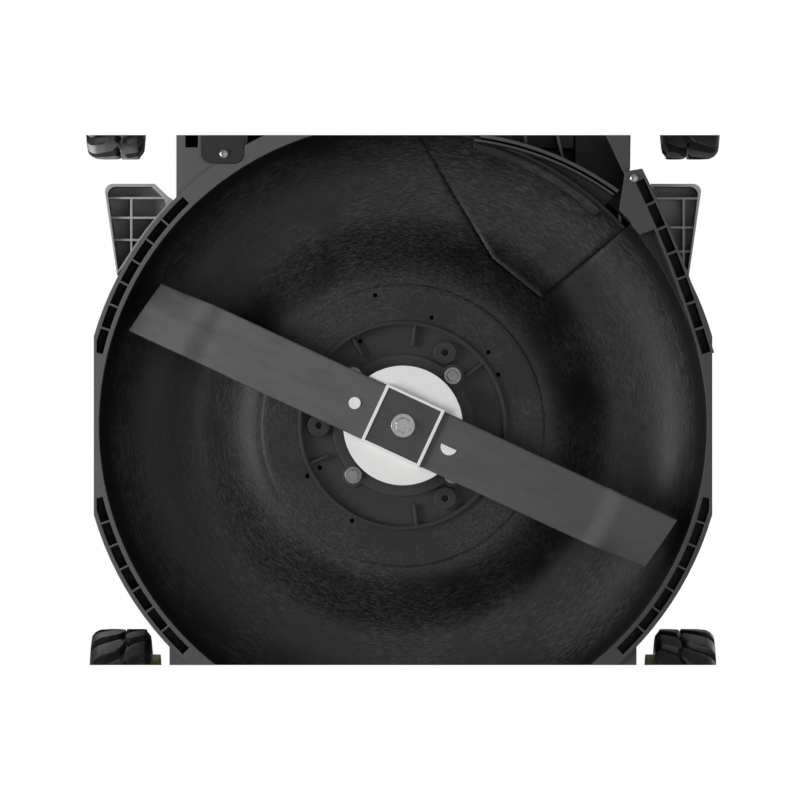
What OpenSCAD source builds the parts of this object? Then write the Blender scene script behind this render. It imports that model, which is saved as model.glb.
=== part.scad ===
// Battery push lawn mower with a round polymer cutting deck, a single-lever height adjuster on cranked
// axles, a mulching plug in the rear chute and a folding, telescoping handle. +Z is up and the ground is
// z = 0. The front of the mower points to -Y, the handle to +Y. The origin is on the ground, under the
// middle of the whole machine. Most shapes are drawn about the blade's own axis and moved by mower().

/* [Deck] */
// Length of the blade, tip to tip
blade_len = 505; // [495:1:510]
// Width of the deck over its straight sides
deck_w = 540; // [536:1:546]
// Radius of the round skirt, outside
skirt_r = 281; // [280:0.5:283]
// Radius of the cutting chamber
chamber_r = 265.5; // [264:0.5:266]
// Height of the skirt's lower rim above the ground
rim_z = 40; // [36:1:44]
// Distance of the blade axis in front of the origin
blade_y = 317; // [310:1:324]
// Thickness of the moulded deck wall
wall = 4; // [3.5:0.5:4.5]

/* [Wheels] */
// Outer radius of a front wheel
front_r = 101.6; // [98:0.2:102]
// Outer radius of a rear wheel
rear_r = 114.3; // [112:0.1:115]
// Width of a front tyre
front_tyre_w = 61; // [56:1:62]
// Width of a rear tyre
rear_tyre_w = 58.5; // [54:0.5:60]
// Length of the crank between an axle bar and its wheel spindle
crank = 45; // [40:1:48]

/* [Handle] */
// Angle of the handle above the ground
handle_angle = 49.5; // [46:0.5:52]
// Distance between the handle's tubes
handle_gap = 356; // [354:1:358]
// Length of the handle from its fold pivot to the grip
handle_len = 1020; // [980:10:1060]
// How far the upper handle slides into the lower one
slide_len = 180; // [140:10:200]

/* [Hidden] */
$fn = 72;

// Heights in the cutting chamber
well_z = rim_z + 58;
plateau_z = rim_z + 52;
crown_z = rim_z + 92;
wall_top_z = rim_z + 35;
frame_z = rim_z + 4;
frame_top_z = rim_z + 88;
skirt_top_z = rim_z + 46;
shroud_z = rim_z + 128;
// Radii in the cutting chamber
motor_hole_r = 58;
skin = 3;
well_r = 88;
plateau_r = 120;
crown_in_r = 190;
crown_out_r = 208;
// Half-widths of the deck's front and rear frames, and where they end
front_half = 204;
rear_half = 198;
front_end = -378;
front_corner = 34;
rear_end = 335;
// Wheels, axles and their pivots, from the blade axis
front_wheel_y = -280.8;
rear_wheel_y = 348.5;
front_pivot_y = front_wheel_y - crank;
rear_pivot_y = rear_wheel_y - crank;
front_wheel_x = 243.5;
rear_wheel_x = 248.8;
axle_r = 6.35;
running = 0.05;
tie_arm = 42;
tie_pin_r = 3.5;
// Height lever
lever_x = 205;
lever_len = 160;
lever_lean = 4;
lever_back = 8;
// Forward from rest, which lowers the deck
lever_forward = 35;
// Blade group
blade_angle = 24.9;
blade_z = rim_z + 22;
blade_half = 26.2;
blade_t = 3.2;
sail_start = 193;
insulator_r = 52.4;
tray_x = 28;
tray_y = 27.5;
plate_side = 50;
peg_round_x = 46.6;
peg_d_x = 44.5;
shaft_r = 8;
// Motor and its four bolts
motor_r = 60;
motor_top_z = rim_z + 138;
bolt_at = 43.6;
// Rear chute, seen in plan from the blade axis
seam = 0.7;
chute_a = [-16.6, 252];
chute_b = [-79.4, 147];
chute_c = [-122.2, 112.2];
chute_d = [-198.6, 176.8];
// Inner sides of the duct behind the chute
duct_x = [-152, 50];
spiral_r0 = 255.2;
spiral_rate = 0.565;
// Straightened rim beside the chute: one long arc that carries seven cells
scroll_c = [610.5, -188.5];
scroll_r = 911;
scroll_mid = 158.86;
scroll_step = 1.472;
// Handle
tube_r = 14;
tube_bore = 12;
leg_r = 11.95;
half_gap = handle_gap / 2;
pivot_y = 338;
pivot_z = rim_z + 165;
lower_len = 520;
bend_r = 60;
brace_at = 250;
bail_at = handle_len - 100;
// Lid and door hinges
lid_y = 44;
lid_z = 268;
door_y = 342;
door_z = 242;
shield_y = 345;
shield_z = 92;

black = "#2a2b2d";
dark_grey = "#3b3d40";
lime = "#93a81e";
steel = "#8f9296";
rubber = "#1b1c1d";

// Points of an arc about c, from angle a0 to a1 in n steps
function arc(c, r, a0, a1, n) =
    [for (i = [0:n]) let (a = a0 + (a1 - a0) * i / n) [c[0] + r * cos(a), c[1] + r * sin(a)]];

// Corner points of a rectangle from lo to hi with rounded corners
function round_box(lo, hi, r, n = 6) = concat(
    arc([hi[0] - r, hi[1] - r], r, 0, 90, n),
    arc([lo[0] + r, hi[1] - r], r, 90, 180, n),
    arc([lo[0] + r, lo[1] + r], r, 180, 270, n),
    arc([hi[0] - r, lo[1] + r], r, 270, 360, n)
);

// Underside of the chamber roof: the rise from the plateau to the crown, then the quarter round to the wall
function roof_line(up, out) = concat(
    [[plateau_r + 3, plateau_z + 0.4 + up]],
    [for (i = [0:14]) let (t = i / 14)
        [plateau_r + 5 + (crown_in_r - plateau_r - 5) * t,
         plateau_z + 1.5 + up + (crown_z - plateau_z - 1.5) * (1 - cos(180 * t)) / 2]],
    [for (a = [90:-7.5:0])
        [crown_out_r + (chamber_r + out - crown_out_r) * cos(a),
         wall_top_z + (crown_z + up - wall_top_z) * sin(a)]]
);

module mower() {
    translate([0, -blade_y, 0]) children();
}

module slab(z0, z1) {
    translate([0, 0, z0]) linear_extrude(z1 - z0) children();
}

module block(lo, hi) {
    translate(lo) cube(hi - lo);
}

module x_rod(r, x0, x1, y, z) {
    translate([x0, y, z]) rotate([0, 90, 0]) cylinder(r = r, h = x1 - x0);
}

module z_rod(r, z0, z1, x = 0, y = 0) {
    translate([x, y, z0]) cylinder(r = r, h = z1 - z0);
}

// ---- Deck ----

module chamber_shell() {
    rotate_extrude($fn = 144) polygon(concat(
        [[motor_hole_r, well_z], [well_r, well_z], [well_r, plateau_z], [plateau_r, plateau_z]],
        roof_line(0, 0),
        [[chamber_r, rim_z], [chamber_r + skin, rim_z]],
        [for (i = [len(roof_line(wall, skin)) - 1:-1:0]) roof_line(wall, skin)[i]],
        [[plateau_r, plateau_z + wall], [well_r + wall, plateau_z + wall],
         [well_r + wall, well_z + wall], [motor_hole_r, well_z + wall]]
    ));
}

module skirt_rim() {
    intersection() {
        slab(rim_z, skirt_top_z) difference() {
            circle(r = skirt_r, $fn = 144);
            circle(r = chamber_r + 1.2, $fn = 144);
        }
        block([-deck_w / 2, -300, 0], [deck_w / 2, 300, 200]);
    }
}

// Seven cells in a quarter of the skirt, between thin ribs
module cell_row() {
    edges = [13.2, 18, 22.5, 27, 31.5, 36, 40.5, 46.3];
    for (i = [0:6])
        rotate([0, 0, edges[i] + 0.19])
            rotate_extrude(angle = edges[i + 1] - edges[i] - 0.38, $fn = 144)
                translate([269.3, rim_z - 1]) square([7.9, 37]);
}

module rim_cells() {
    intersection() {
        union() {
            cell_row();
            mirror([0, 1, 0]) cell_row();
            mirror([1, 0, 0]) mirror([0, 1, 0]) cell_row();
        }
        block([2.6 - deck_w / 2, -300, 0], [deck_w / 2 - 2.6, 300, 200]);
    }
}

module scroll_rim() {
    slab(rim_z, skirt_top_z) difference() {
        polygon(concat(
            arc(scroll_c, scroll_r + 6.5, scroll_mid - 5.6, scroll_mid + 5.2, 12),
            [[-200, 60], [-185, 150], [-190, 196], [-194, 222]]
        ));
        circle(r = chamber_r + 1.2, $fn = 144);
    }
}

module scroll_cells() {
    for (k = [-3:3])
        translate([scroll_c[0], scroll_c[1], rim_z - 1])
            rotate([0, 0, scroll_mid + k * scroll_step])
                translate([scroll_r - 4, -10.6, 0]) cube([8, 21.2, 37]);
}

// Wider part of the chamber beside the scroll cells, under a flat roof
module scroll_channel() {
    slab(rim_z - 1, wall_top_z) difference() {
        polygon(concat(
            arc(scroll_c, scroll_r - 6.5, scroll_mid - 2.3, scroll_mid + 4.6, 12),
            [[-230, 70], [-190, 160]]
        ));
        circle(r = chamber_r - 2, $fn = 144);
    }
}

// Plan of the chute plug inside the chamber, grown by g all round
module chute_plan(g) {
    polygon([
        chute_a + [g, 0], chute_b + [g, -g], chute_c + [0, -1.3 * g], chute_d + [-g, -g],
        [-202 - g, 199], [-150, 310], [chute_a[0] + 34.8 + g, 310]
    ]);
}

module chute_prism(g, z0, z1) {
    slab(z0, z1) chute_plan(g);
}

module rear_frame() {
    difference() {
        block([-rear_half, 150, frame_z], [rear_half, rear_end, frame_top_z]);
        block([wall - rear_half, 140, 0], [rear_half - wall, rear_end - wall, frame_top_z - wall]);
        z_rod(chamber_r + 1.2, 0, 300);
        block([duct_x[0], 180, 100], [duct_x[1], 264, 300]);
    }
    // Flat foot of the frame on the left, with its recess, and the narrow strip on the right
    slab(frame_z, frame_z + wall) difference() {
        polygon([[60, 262], [60, 256], [150, 200], [rear_half - 1, 180], [rear_half - 1, 262]]);
        circle(r = chamber_r, $fn = 144);
        polygon([[110, 263], [110, 243], [136, 243], [136, 263]]);
        polygon([[179, 263], [179, 243], [190, 243], [190, 263]]);
    }
    slab(frame_z, frame_z + wall)
        polygon([[-rear_half + 1, 262], [-rear_half + 1, 216], [-194, 218], [-176, 256], [-173, 262]]);
    slab(frame_z, frame_top_z) polygon([[60, 262], [60, 259.5], [rear_half - 1, 259.5], [rear_half - 1, 262]]);
}

module chute_duct() {
    difference() {
        block([duct_x[0] - 4, 262, frame_top_z - 1], [duct_x[1] + 4, rear_end, 232]);
        block([duct_x[0], 250, 133], [duct_x[1], rear_end + 1, 228]);
    }
}

module front_frame() {
    difference() {
        slab(frame_z, frame_top_z) polygon(round_box([-front_half, front_end], [front_half, -120], front_corner));
        slab(0, 300) polygon(round_box([wall - front_half, front_end + wall], [front_half - wall, -100], front_corner - wall));
        z_rod(chamber_r + 1.2, 0, 300);
    }
    slab(frame_z, frame_z + wall) difference() {
        polygon([[-front_half + 1, -170], [-front_half + 1, -238], [front_half - 1, -238], [front_half - 1, -170]]);
        circle(r = chamber_r + 1, $fn = 144);
    }
    for (x = [-96, 96])
        block([x - 1.5, front_end + 2, frame_z + 12], [x + 1.5, -252, 88]);
}

module well_ribs() {
    // Ring round the motor well, its ribs and its screw bosses
    slab(rim_z + 48, well_z + 1) difference() {
        circle(r = 91.7, $fn = 144);
        circle(r = 89.1, $fn = 144);
    }
    for (a = [22, 60, 97, 142, 202, 262, 338])
        rotate([0, 0, a]) block([70, -1.2, rim_z + 51], [90, 1.2, well_z + 1]);
    for (a = [0, 120, 240])
        rotate([0, 0, a]) translate([74, 0, rim_z + 50]) difference() {
            cylinder(r = 9.8, h = well_z + 1 - rim_z - 50);
            translate([0, 0, -1]) cylinder(r = 2.9, h = 8);
        }
}

module drain_holes() {
    for (h = [[95, 152], [95, 332], [95, 298], [98, 105], [99, 139.5], [117, 78], [83, 63], [82, 333]])
        rotate([0, 0, h[1]]) z_rod(2, 60, 120, h[0]);
}

module deck() {
    color(black) mower() {
        difference() {
            union() {
                difference() {
                    chamber_shell();
                    chute_prism(seam, 0, 300);
                }
                difference() {
                    skirt_rim();
                    chute_prism(seam, 0, 300);
                }
                scroll_rim();
                rear_frame();
                chute_duct();
                front_frame();
                well_ribs();
                for (s = [-1, 1]) {
                    x_rod(7, s * 190 - 3, s * 190 + 3, shield_y, shield_z);
                    block([s * 190 - 3, rear_end - 2, shield_z - 7], [s * 190 + 3, shield_y, shield_z + 7]);
                }
            }
            x_rod(3 + running, -200, 200, shield_y, shield_z);
            rim_cells();
            scroll_cells();
            scroll_channel();
            drain_holes();
            x_rod(axle_r + running, -220, 220, rear_pivot_y, rear_r);
            x_rod(axle_r + running, -220, 220, front_pivot_y, front_r);
            block([-194, rear_pivot_y - 40, 100], [-181, rear_end - 6, 300]);
            z_rod(2.6, frame_z - 1, frame_z + 10, -201.9, 216);
            slab(rim_z - 1, frame_z) polygon(round_box([138.1, 228.5], [177.1, 262.5], 9.3));
            for (x = [-bolt_at, bolt_at], y = [-bolt_at, bolt_at])
                z_rod(3.2, well_z - 1, well_z + wall + 2, x, y);
        }
    }
}

// Outer form of the shroud, drawn in by g: a round middle and a straighter front and rear
module shroud_form(g, z0) {
    intersection() {
        hull() {
            slab(skirt_top_z + 0.4 - z0, 110) circle(r = 278 - g, $fn = 72);
            slab(140, 141) circle(r = 262 - g, $fn = 72);
            slab(shroud_z - g - 1, shroud_z - g) circle(r = 226 - g, $fn = 72);
        }
        block([g - deck_w / 2, -300, 0], [deck_w / 2 - g, 300, 300]);
    }
    hull() {
        slab(frame_top_z + 0.4 - z0, 140) polygon(round_box(
            [g - front_half, front_end + g], [front_half - g, -100], front_corner - g));
        slab(shroud_z - g - 1, shroud_z - g) polygon(round_box(
            [g - front_half + 4, front_end + g + 36], [front_half - g - 4, -100], front_corner - g));
    }
    hull() {
        slab(frame_top_z + 0.4 - z0, 150) polygon(round_box(
            [g - rear_half, 100], [rear_half - g, rear_end - g], 8 - g));
        slab(shroud_z - g - 1, shroud_z - g) polygon(round_box(
            [g - rear_half, 100], [rear_half - g, rear_end - g], 8 - g));
    }
}

module shroud() {
    color(black) mower() difference() {
        union() {
            difference() {
                shroud_form(0, 0);
                shroud_form(3.5, 5);
                slab(0, frame_top_z + 0.3) polygon(round_box(
                    [-front_half - 0.4, front_end - 1], [front_half + 0.4, -115], front_corner));
                z_rod(chamber_r + skin + 0.4, 0, skirt_top_z + 6);
                block([-rear_half - 0.4, 160, 0], [rear_half + 0.4, rear_end + 1, frame_top_z + 0.3]);
            }
            difference() {
                block([-158, 240, shroud_z - 3], [158, rear_end, 238]);
                block([-154, 244, shroud_z - 10], [154, rear_end + 1, 234]);
            }
            for (s = [-1, 1]) {
                x_rod(7, s * 154.5 - 3, s * 154.5 + 3, door_y, door_z);
                block([s * 154.5 - 3, rear_end - 12, 222], [s * 154.5 + 3, door_y, door_z + 4]);
            }
        }
        x_rod(3, -170, 170, door_y, door_z);
        slab(150, 200) polygon(round_box([-118, -158], [118, 176], 40));
        block([-154, 244, 130], [154, rear_end + 1, 170]);
        block([duct_x[0] - 7, 244.5, 120], [duct_x[1] + 7, rear_end + 1, 234]);
    }
}

// Plan of the left fender, drawn in by g
function fender_plan(g) = concat(
    arc([254 - g, 204.6 - g], 7, 0, 90, 5),
    [[217.4 + g, 211.6 - g], [206.5 + g, 201 - g]],
    [for (a = [44.5 - 0.6 * g:-2.8:28.5 + 0.5 * g])
        [(skirt_r + 0.2 + g * 0.7) * cos(a), (skirt_r + 0.2 + g * 0.7) * sin(a)]],
    [[250.4 - g * 0.4, 131.5 + g * 1.6]]
);

module fender_shell(ribs_y, rib_x) {
    difference() {
        slab(62, 100) polygon(fender_plan(0));
        slab(50, 96.5) polygon(fender_plan(2.6));
    }
    intersection() {
        slab(70, 98) polygon(fender_plan(1));
        union() {
            for (y = ribs_y)
                block([200, y - 1, 60], [270, y + 1, 98]);
            block([rib_x - 1, 130, 60], [rib_x + 1, 199, 98]);
        }
    }
}

module fender_left() {
    color(dark_grey) mower() fender_shell([199.3, 182, 162.6], 238);
}

module fender_right() {
    color(dark_grey) mower() difference() {
        mirror([1, 0, 0]) fender_shell([199, 173.5, 152.4], 246);
        slab(0, 200) polygon(concat(
            arc(scroll_c, scroll_r + 7.1, scroll_mid - 5.8, scroll_mid + 5.4, 12),
            [[-180, 60], [-180, 230]]
        ));
    }
}

// ---- Motor ----

module motor_flange() {
    color(dark_grey) mower() slab(well_z - 4, well_z) difference() {
        union() {
            circle(r = 62);
            for (a = [45:90:315])
                rotate([0, 0, a]) translate([bolt_at * sqrt(2), 0]) circle(r = 10);
        }
        circle(r = 21);
        for (a = [45:90:315])
            rotate([0, 0, a]) translate([bolt_at * sqrt(2), 0]) circle(r = 3.2);
    }
}

module motor_can() {
    color(steel) mower() difference() {
        union() {
            z_rod(motor_r - 3, well_z + 0.3, well_z + 8);
            z_rod(motor_r, well_z + wall + 0.5, motor_top_z);
            z_rod(22, motor_top_z - 1, motor_top_z + 10);
        }
        z_rod(shaft_r + running, well_z - 10, motor_top_z - 20);
        for (a = [0:30:330])
            rotate([0, 0, a]) block([motor_r - 6, -3, well_z + 20], [motor_r + 5, 3, motor_top_z - 12]);
    }
}

module hex_bolt(flange, head, z0, drop, stem, reach) {
    z_rod(flange, z0 - 2, z0);
    translate([0, 0, z0 - drop]) cylinder(r = head, h = drop - 1, $fn = 6);
    z_rod(stem, z0 - 1, z0 + reach);
}

module motor_bolts() {
    color(steel) mower() for (x = [-bolt_at, bolt_at], y = [-bolt_at, bolt_at])
        translate([x, y, 0]) hex_bolt(7.5, 5, well_z - 4, 8, 3, 14);
}

module controller() {
    color(dark_grey) mower() {
        block([-52, -150, 141], [52, -76, 158]);
        for (x = [-46:8:46])
            block([x - 1.2, -148, 157], [x + 1.2, -78, 176]);
    }
}

module shaft() {
    color(steel) mower() {
        z_rod(shaft_r, blade_z + blade_t + 4.8, motor_top_z - 22);
        z_rod(14, blade_z + blade_t + 4.8, blade_z + blade_t + 14);
    }
}

// ---- Blade ----

module blade_frame() {
    mower() translate([0, 0, blade_z]) rotate([0, 0, blade_angle]) children();
}

module blade_end() {
    // Flat front half of the tip, cut slightly askew, and the raised sail behind it
    slab(0, blade_t) polygon([[sail_start, -blade_half], [blade_len / 2, -blade_half],
        [blade_len / 2 - 4, 0], [sail_start, 0]]);
    translate([sail_start, 0, 0]) rotate([90, 0, 90]) linear_extrude(blade_len / 2 - 8 - sail_start)
        polygon([[-1, 0], [10, 1.2], [blade_half, 8], [blade_half, 8 + blade_t],
            [10, 1.2 + blade_t], [-1, blade_t]]);
}

module blade() {
    color(dark_grey) blade_frame() difference() {
        union() {
            block([-sail_start - 1, -blade_half, 0], [sail_start + 1, blade_half, blade_t]);
            blade_end();
            rotate([0, 0, 180]) blade_end();
        }
        z_rod(5.1, -1, blade_t + 1);
        z_rod(5.5, -1, blade_t + 1, peg_round_x);
        intersection() {
            z_rod(7.6, -1, blade_t + 1, -peg_d_x);
            block([-60, -10, -2], [-30, 0.2, 9]);
        }
    }
}

module insulator() {
    color("white") blade_frame() {
        difference() {
            slab(blade_t + 0.1, blade_t + 4.7) circle(r = insulator_r);
            z_rod(5.1, 0, 20);
        }
        difference() {
            block([-tray_x, -tray_y, -5], [tray_x, tray_y, blade_t + 0.4]);
            block([-plate_side / 2 - 0.1, -plate_side / 2 - 0.1, -6], [plate_side / 2 + 0.1, plate_side / 2 + 0.1, 9]);
            block([-40, -blade_half - 0.1, -0.1], [40, blade_half + 0.1, blade_t + 0.1]);
        }
        z_rod(5.3, -1.2, blade_t + 0.4, peg_round_x);
        intersection() {
            z_rod(7.4, -1.2, blade_t + 0.4, -peg_d_x);
            block([-60, -10, -5], [-30, 0, 9]);
        }
    }
}

module clamp_plate() {
    color(steel) blade_frame() difference() {
        block([-plate_side / 2, -plate_side / 2, -3.6], [plate_side / 2, plate_side / 2, -0.1]);
        z_rod(5.1, -6, 2);
    }
}

module blade_bolt() {
    color("silver") blade_frame() {
        z_rod(10.4, -5.6, -3.7);
        translate([0, 0, -10.6]) cylinder(r = 6.9, h = 6, $fn = 6);
        z_rod(6.1, -11.2, -10);
        z_rod(5, -4, blade_t + 4.6);
    }
}

// ---- Chute plug, covers and rear door ----

// Radius of the chute wall at angle f from straight back, growing outwards
function spiral(f) = spiral_r0 + spiral_rate * f;

module spiral_wall(off, t, f0, f1) {
    polygon(concat(
        [for (i = [0:12]) let (f = f0 + (f1 - f0) * i / 12)
            [-(spiral(f) + off) * sin(f), (spiral(f) + off) * cos(f)]],
        [for (i = [12:-1:0]) let (f = f0 + (f1 - f0) * i / 12)
            [-(spiral(f) + off - t) * sin(f), (spiral(f) + off - t) * cos(f)]]
    ));
}

module mulch_plug() {
    color(black) mower() difference() {
        union() {
            difference() {
                intersection() {
                    chamber_shell();
                    chute_prism(0, rim_z + 60, 300);
                }
                slab(0, 300) difference() {
                    circle(r = 300);
                    circle(r = 262);
                }
            }
            slab(rim_z + 3, 112) spiral_wall(0, 3, 15, 42.6);
            slab(rim_z + 6, 112) spiral_wall(-5, 1.8, 14, 42.4);
            slab(rim_z + 14, 112) {
                polygon([[-106.2, 244], [-108.6, 244], [-108.6, 261], [-106.2, 261]]);
                polygon([[-138.4, 234], [-140.9, 234], [-135.6, 258], [-133.2, 258]]);
            }
            slab(106, 112) difference() {
                spiral_wall(0, 36, 15, 42.6);
                circle(r = 250);
            }
            block([-150, 244, 106], [-62, 258, 142]);
            hull() {
                block([-150, 250, 134.5], [-62, 254, 142]);
                block([duct_x[0] + 4, 318, 136], [duct_x[1] - 4, 322, 224]);
            }
        }
        block([-120, 300, 160], [0, 330, 205]);
    }
}

module rear_cover() {
    color(dark_grey) mower() difference() {
        slab(frame_z - 2.4, frame_z - 0.1) polygon(round_box([138.4, 228.8], [176.8, 262], 9));
        z_rod(2, 30, 60, 156.4, 237.2);
    }
}

module deck_screws() {
    color("silver") mower() {
        translate([156.4, 237.2, frame_z - 4.2]) cylinder(r = 3.5, h = 1.8);
        z_rod(1.9, frame_z - 2.5, frame_z + 3.5, 156.4, 237.2);
        z_rod(4.1, frame_z - 3, frame_z - 0.1, -201.9, 216);
        z_rod(2.5, frame_z - 1, frame_z + 8, -201.9, 216);
        for (x = [-126, 126], y = [-140, 150]) {
            z_rod(5, shroud_z + 4.2, shroud_z + 7, x, y);
            z_rod(2.4, shroud_z - 8, shroud_z + 5, x, y);
        }
    }
}

module door_pin() {
    color(steel) mower() x_rod(3, -156, 156, door_y, door_z);
}

module rear_door() {
    color(black) mower() {
        difference() {
            union() {
                block([-150, door_y - 4, 136], [150, door_y, 236.4]);
                for (x = [-144, -40, 24, 128])
                    x_rod(6, x, x + 16, door_y, door_z);
                for (x = [-144, -40, 24, 128])
                    block([x, door_y - 4, 232], [x + 16, door_y + 5, 241]);
                block([-60, door_y - 1, 140], [60, door_y + 14, 148]);
            }
            x_rod(3 + running, -170, 170, door_y, door_z);
        }
        for (x = [-110:44:110])
            block([x - 1.5, door_y - 1, 150], [x + 1.5, door_y + 4, 232]);
    }
}

module door_springs() {
    color(steel) mower() for (x = [-100, 70])
        difference() {
            x_rod(5.2, x, x + 28, door_y, door_z);
            x_rod(3.4, x - 1, x + 29, door_y, door_z);
        }
}

module trailing_shield() {
    color(rubber) mower() {
        block([-184, shield_y - 2, 14], [184, shield_y + 2, shield_z]);
        x_rod(4.5, -186, 186, shield_y, shield_z);
        x_rod(3, -192, 192, shield_y, shield_z);
        for (z = [24:14:80])
            block([-176, shield_y + 1, z], [176, shield_y + 3.5, z + 4]);
    }
}

// ---- Covers over the motor and the battery ----

module cowl_form(g) {
    hull() {
        slab(shroud_z + 0.4 - 2 * g, shroud_z + 4) polygon(round_box([g - 142, g - 178], [142 - g, 196 - g], 50 - g));
        slab(220, 221) polygon(round_box([g - 128, g - 158], [128 - g, 192 - g], 46 - g));
        slab(262 - g - 1, 262 - g) polygon(round_box([g - 96, g - 104], [96 - g, 186 - g], 40 - g));
    }
}

module cowl() {
    color(dark_grey) mower() {
        difference() {
            cowl_form(0);
            cowl_form(3);
            block([-72, 52, 240], [72, 176, 300]);
            for (y = [-96:14:30], s = [-1, 1])
                translate([s * 134, y, 192]) rotate([0, s * -14, 0]) block([-16, -3, -14], [16, 3, 16]);
            for (x = [-126, 126], y = [-140, 150])
                z_rod(2.6, 160, 190, x, y);
        }
        for (s = [-1, 1])
            difference() {
                union() {
                    x_rod(4.4, s * 61 - 3, s * 61 + 3, lid_y, lid_z);
                    block([s * 61 - 3, lid_y - 4, 260], [s * 61 + 3, lid_y + 4, lid_z]);
                }
                x_rod(2 + running, -80, 80, lid_y, lid_z);
            }
    }
}

module battery_lid() {
    color(lime) mower() difference() {
        union() {
            hull() {
                slab(262.8, 266) polygon(round_box([-80, 50], [80, 186], 14));
                slab(271, 272) polygon(round_box([-72, 57], [72, 179], 12));
            }
            for (s = [-1, 1]) {
                x_rod(4, s * 48 - 9, s * 48 + 9, lid_y, lid_z);
                block([s * 48 - 9, lid_y, lid_z - 2.5], [s * 48 + 9, lid_y + 14, lid_z + 2.5]);
            }
            block([-20, 184, 263.2], [20, 191, 266]);
        }
        slab(250, 268.4) polygon(round_box([-70, 60], [70, 176], 8));
    }
    color(lime) mower() x_rod(2, -64, 64, lid_y, lid_z);
}

module battery_bay() {
    color(black) mower() difference() {
        union() {
            block([-55, 74, 140], [55, 168, 242]);
            slab(239, 243) polygon(round_box([-69, 56], [69, 173], 6));
        }
        block([-51, 78, 144], [51, 164, 250]);
    }
}

module battery() {
    color(dark_grey) mower() {
        slab(144.3, 246) polygon(round_box([-50.2, 78.8], [50.2, 163.2], 10));
        difference() {
            slab(245, 257) polygon(round_box([-42, 88], [42, 154], 10));
            slab(249, 260) polygon(round_box([-30, 104], [30, 140], 8));
        }
    }
}

module battery_latch() {
    color(lime) mower() {
        block([-14, 63, 243.4], [14, 72, 249]);
        for (x = [-9:6:9])
            block([x - 1, 64, 248], [x + 1, 71, 250.4]);
    }
}

module safety_key() {
    color(lime) mower() difference() {
        union() {
            block([57, 112, 243.3], [66, 132, 247]);
            slab(246, 255) polygon(round_box([59.5, 114], [63.5, 130], 1.9));
        }
        x_rod(3, 50, 80, 122, 251);
    }
}

// ---- Axles and height adjuster ----

module axle(y, z, half, wheel_end) {
    x_rod(axle_r, -half, half, y, z);
    for (s = [-1, 1]) {
        hull() {
            x_rod(11, s * half - 2, s * half + 2, y, z, $fn = 32);
            x_rod(11, s * half - 2, s * half + 2, y + crank, z, $fn = 32);
        }
        x_rod(axle_r, min(s * (half + 1), s * wheel_end), max(s * (half + 1), s * wheel_end), y + crank, z);
    }
    // Arm that carries the tie rod
    difference() {
        union() {
            hull() {
                x_rod(11, -190, -185, y, z, $fn = 32);
                x_rod(6.5, -190, -185, y, z + tie_arm, $fn = 32);
            }
        }
        x_rod(axle_r - 0.5, -200, -180, y, z);
    }
    x_rod(tie_pin_r, -193.8, -188, y, z + tie_arm);
}

module rear_axle() {
    color(steel) mower() axle(rear_pivot_y, rear_r, lever_x, 271.2);
}

module front_axle() {
    color(steel) mower() axle(front_pivot_y, front_r, lever_x + 2, 266.5);
}

module nuts(y, z, x) {
    for (s = [-1, 1])
        translate([s * x, y, z]) rotate([0, s * 90, 0]) difference() {
            cylinder(r = 11, h = 6, $fn = 6);
            translate([0, 0, -1]) cylinder(r = axle_r, h = 8);
        }
}

module rear_nuts() {
    color("silver") mower() nuts(rear_wheel_y, rear_r, 264.6);
}

module front_nuts() {
    color("silver") mower() nuts(front_wheel_y, front_r, 259.6);
}

module tie_rod() {
    front_z = front_r + tie_arm;
    rear_z = rear_r + tie_arm;
    lean = atan2(rear_z - front_z, rear_pivot_y - front_pivot_y);
    run = norm([rear_z - front_z, rear_pivot_y - front_pivot_y]);
    color(steel) mower() translate([0, rear_pivot_y, rear_z]) rotate([lean, 0, 0]) difference() {
        union() {
            block([-193.4, -run, -4], [-190.6, 0, 4]);
            x_rod(6.2, -193.4, -190.6, 0, 0);
            x_rod(8, -193.4, -190.6, -run, 0);
        }
        x_rod(tie_pin_r + running, -200, -180, 0, 0);
        x_rod(tie_pin_r + 1.5, -200, -180, -run, 0);
    }
}

module height_lever() {
    color(steel) mower() translate([0, rear_pivot_y, rear_r]) rotate([lever_lean, 0, 0]) {
        difference() {
            hull() {
                x_rod(12, -212, -208, 0, 0, $fn = 32);
                x_rod(8, -212, -208, 0, lever_len, $fn = 32);
            }
            x_rod(axle_r - 1.5, -220, -200, 0, 0);
        }
        x_rod(6, -208.4, -202.4, 0, 78);
        x_rod(11, -208.6, -207.2, 0, 0);
    }
}

module lever_knob() {
    color(lime) mower() translate([0, rear_pivot_y, rear_r]) rotate([lever_lean, 0, 0]) difference() {
        hull() {
            translate([-212, 0, lever_len - 16]) sphere(r = 11, $fn = 32);
            translate([-214, 0, lever_len + 12]) sphere(r = 14, $fn = 32);
        }
        hull() {
            x_rod(12.2, -212.1, -207.9, 0, 0, $fn = 32);
            x_rod(8.1, -212.1, -207.9, 0, lever_len, $fn = 32);
        }
    }
}

module detent_plate() {
    color(steel) mower() translate([0, rear_pivot_y, rear_r]) difference() {
        rotate([0, -90, 0]) translate([0, 0, 198.1]) linear_extrude(3.2) difference() {
            polygon(concat(arc([0, 0], 87, -16, 62, 12), arc([0, 0], 26, 62, -16, 8)) * [[1, 0], [0, -1]]);
            circle(r = 17);
        }
        for (i = [0:5])
            rotate([lever_lean - lever_back + i * (lever_back + lever_forward) / 5, 0, 0])
                x_rod(6.4, -210, -190, 0, 78);
    }
}

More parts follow.
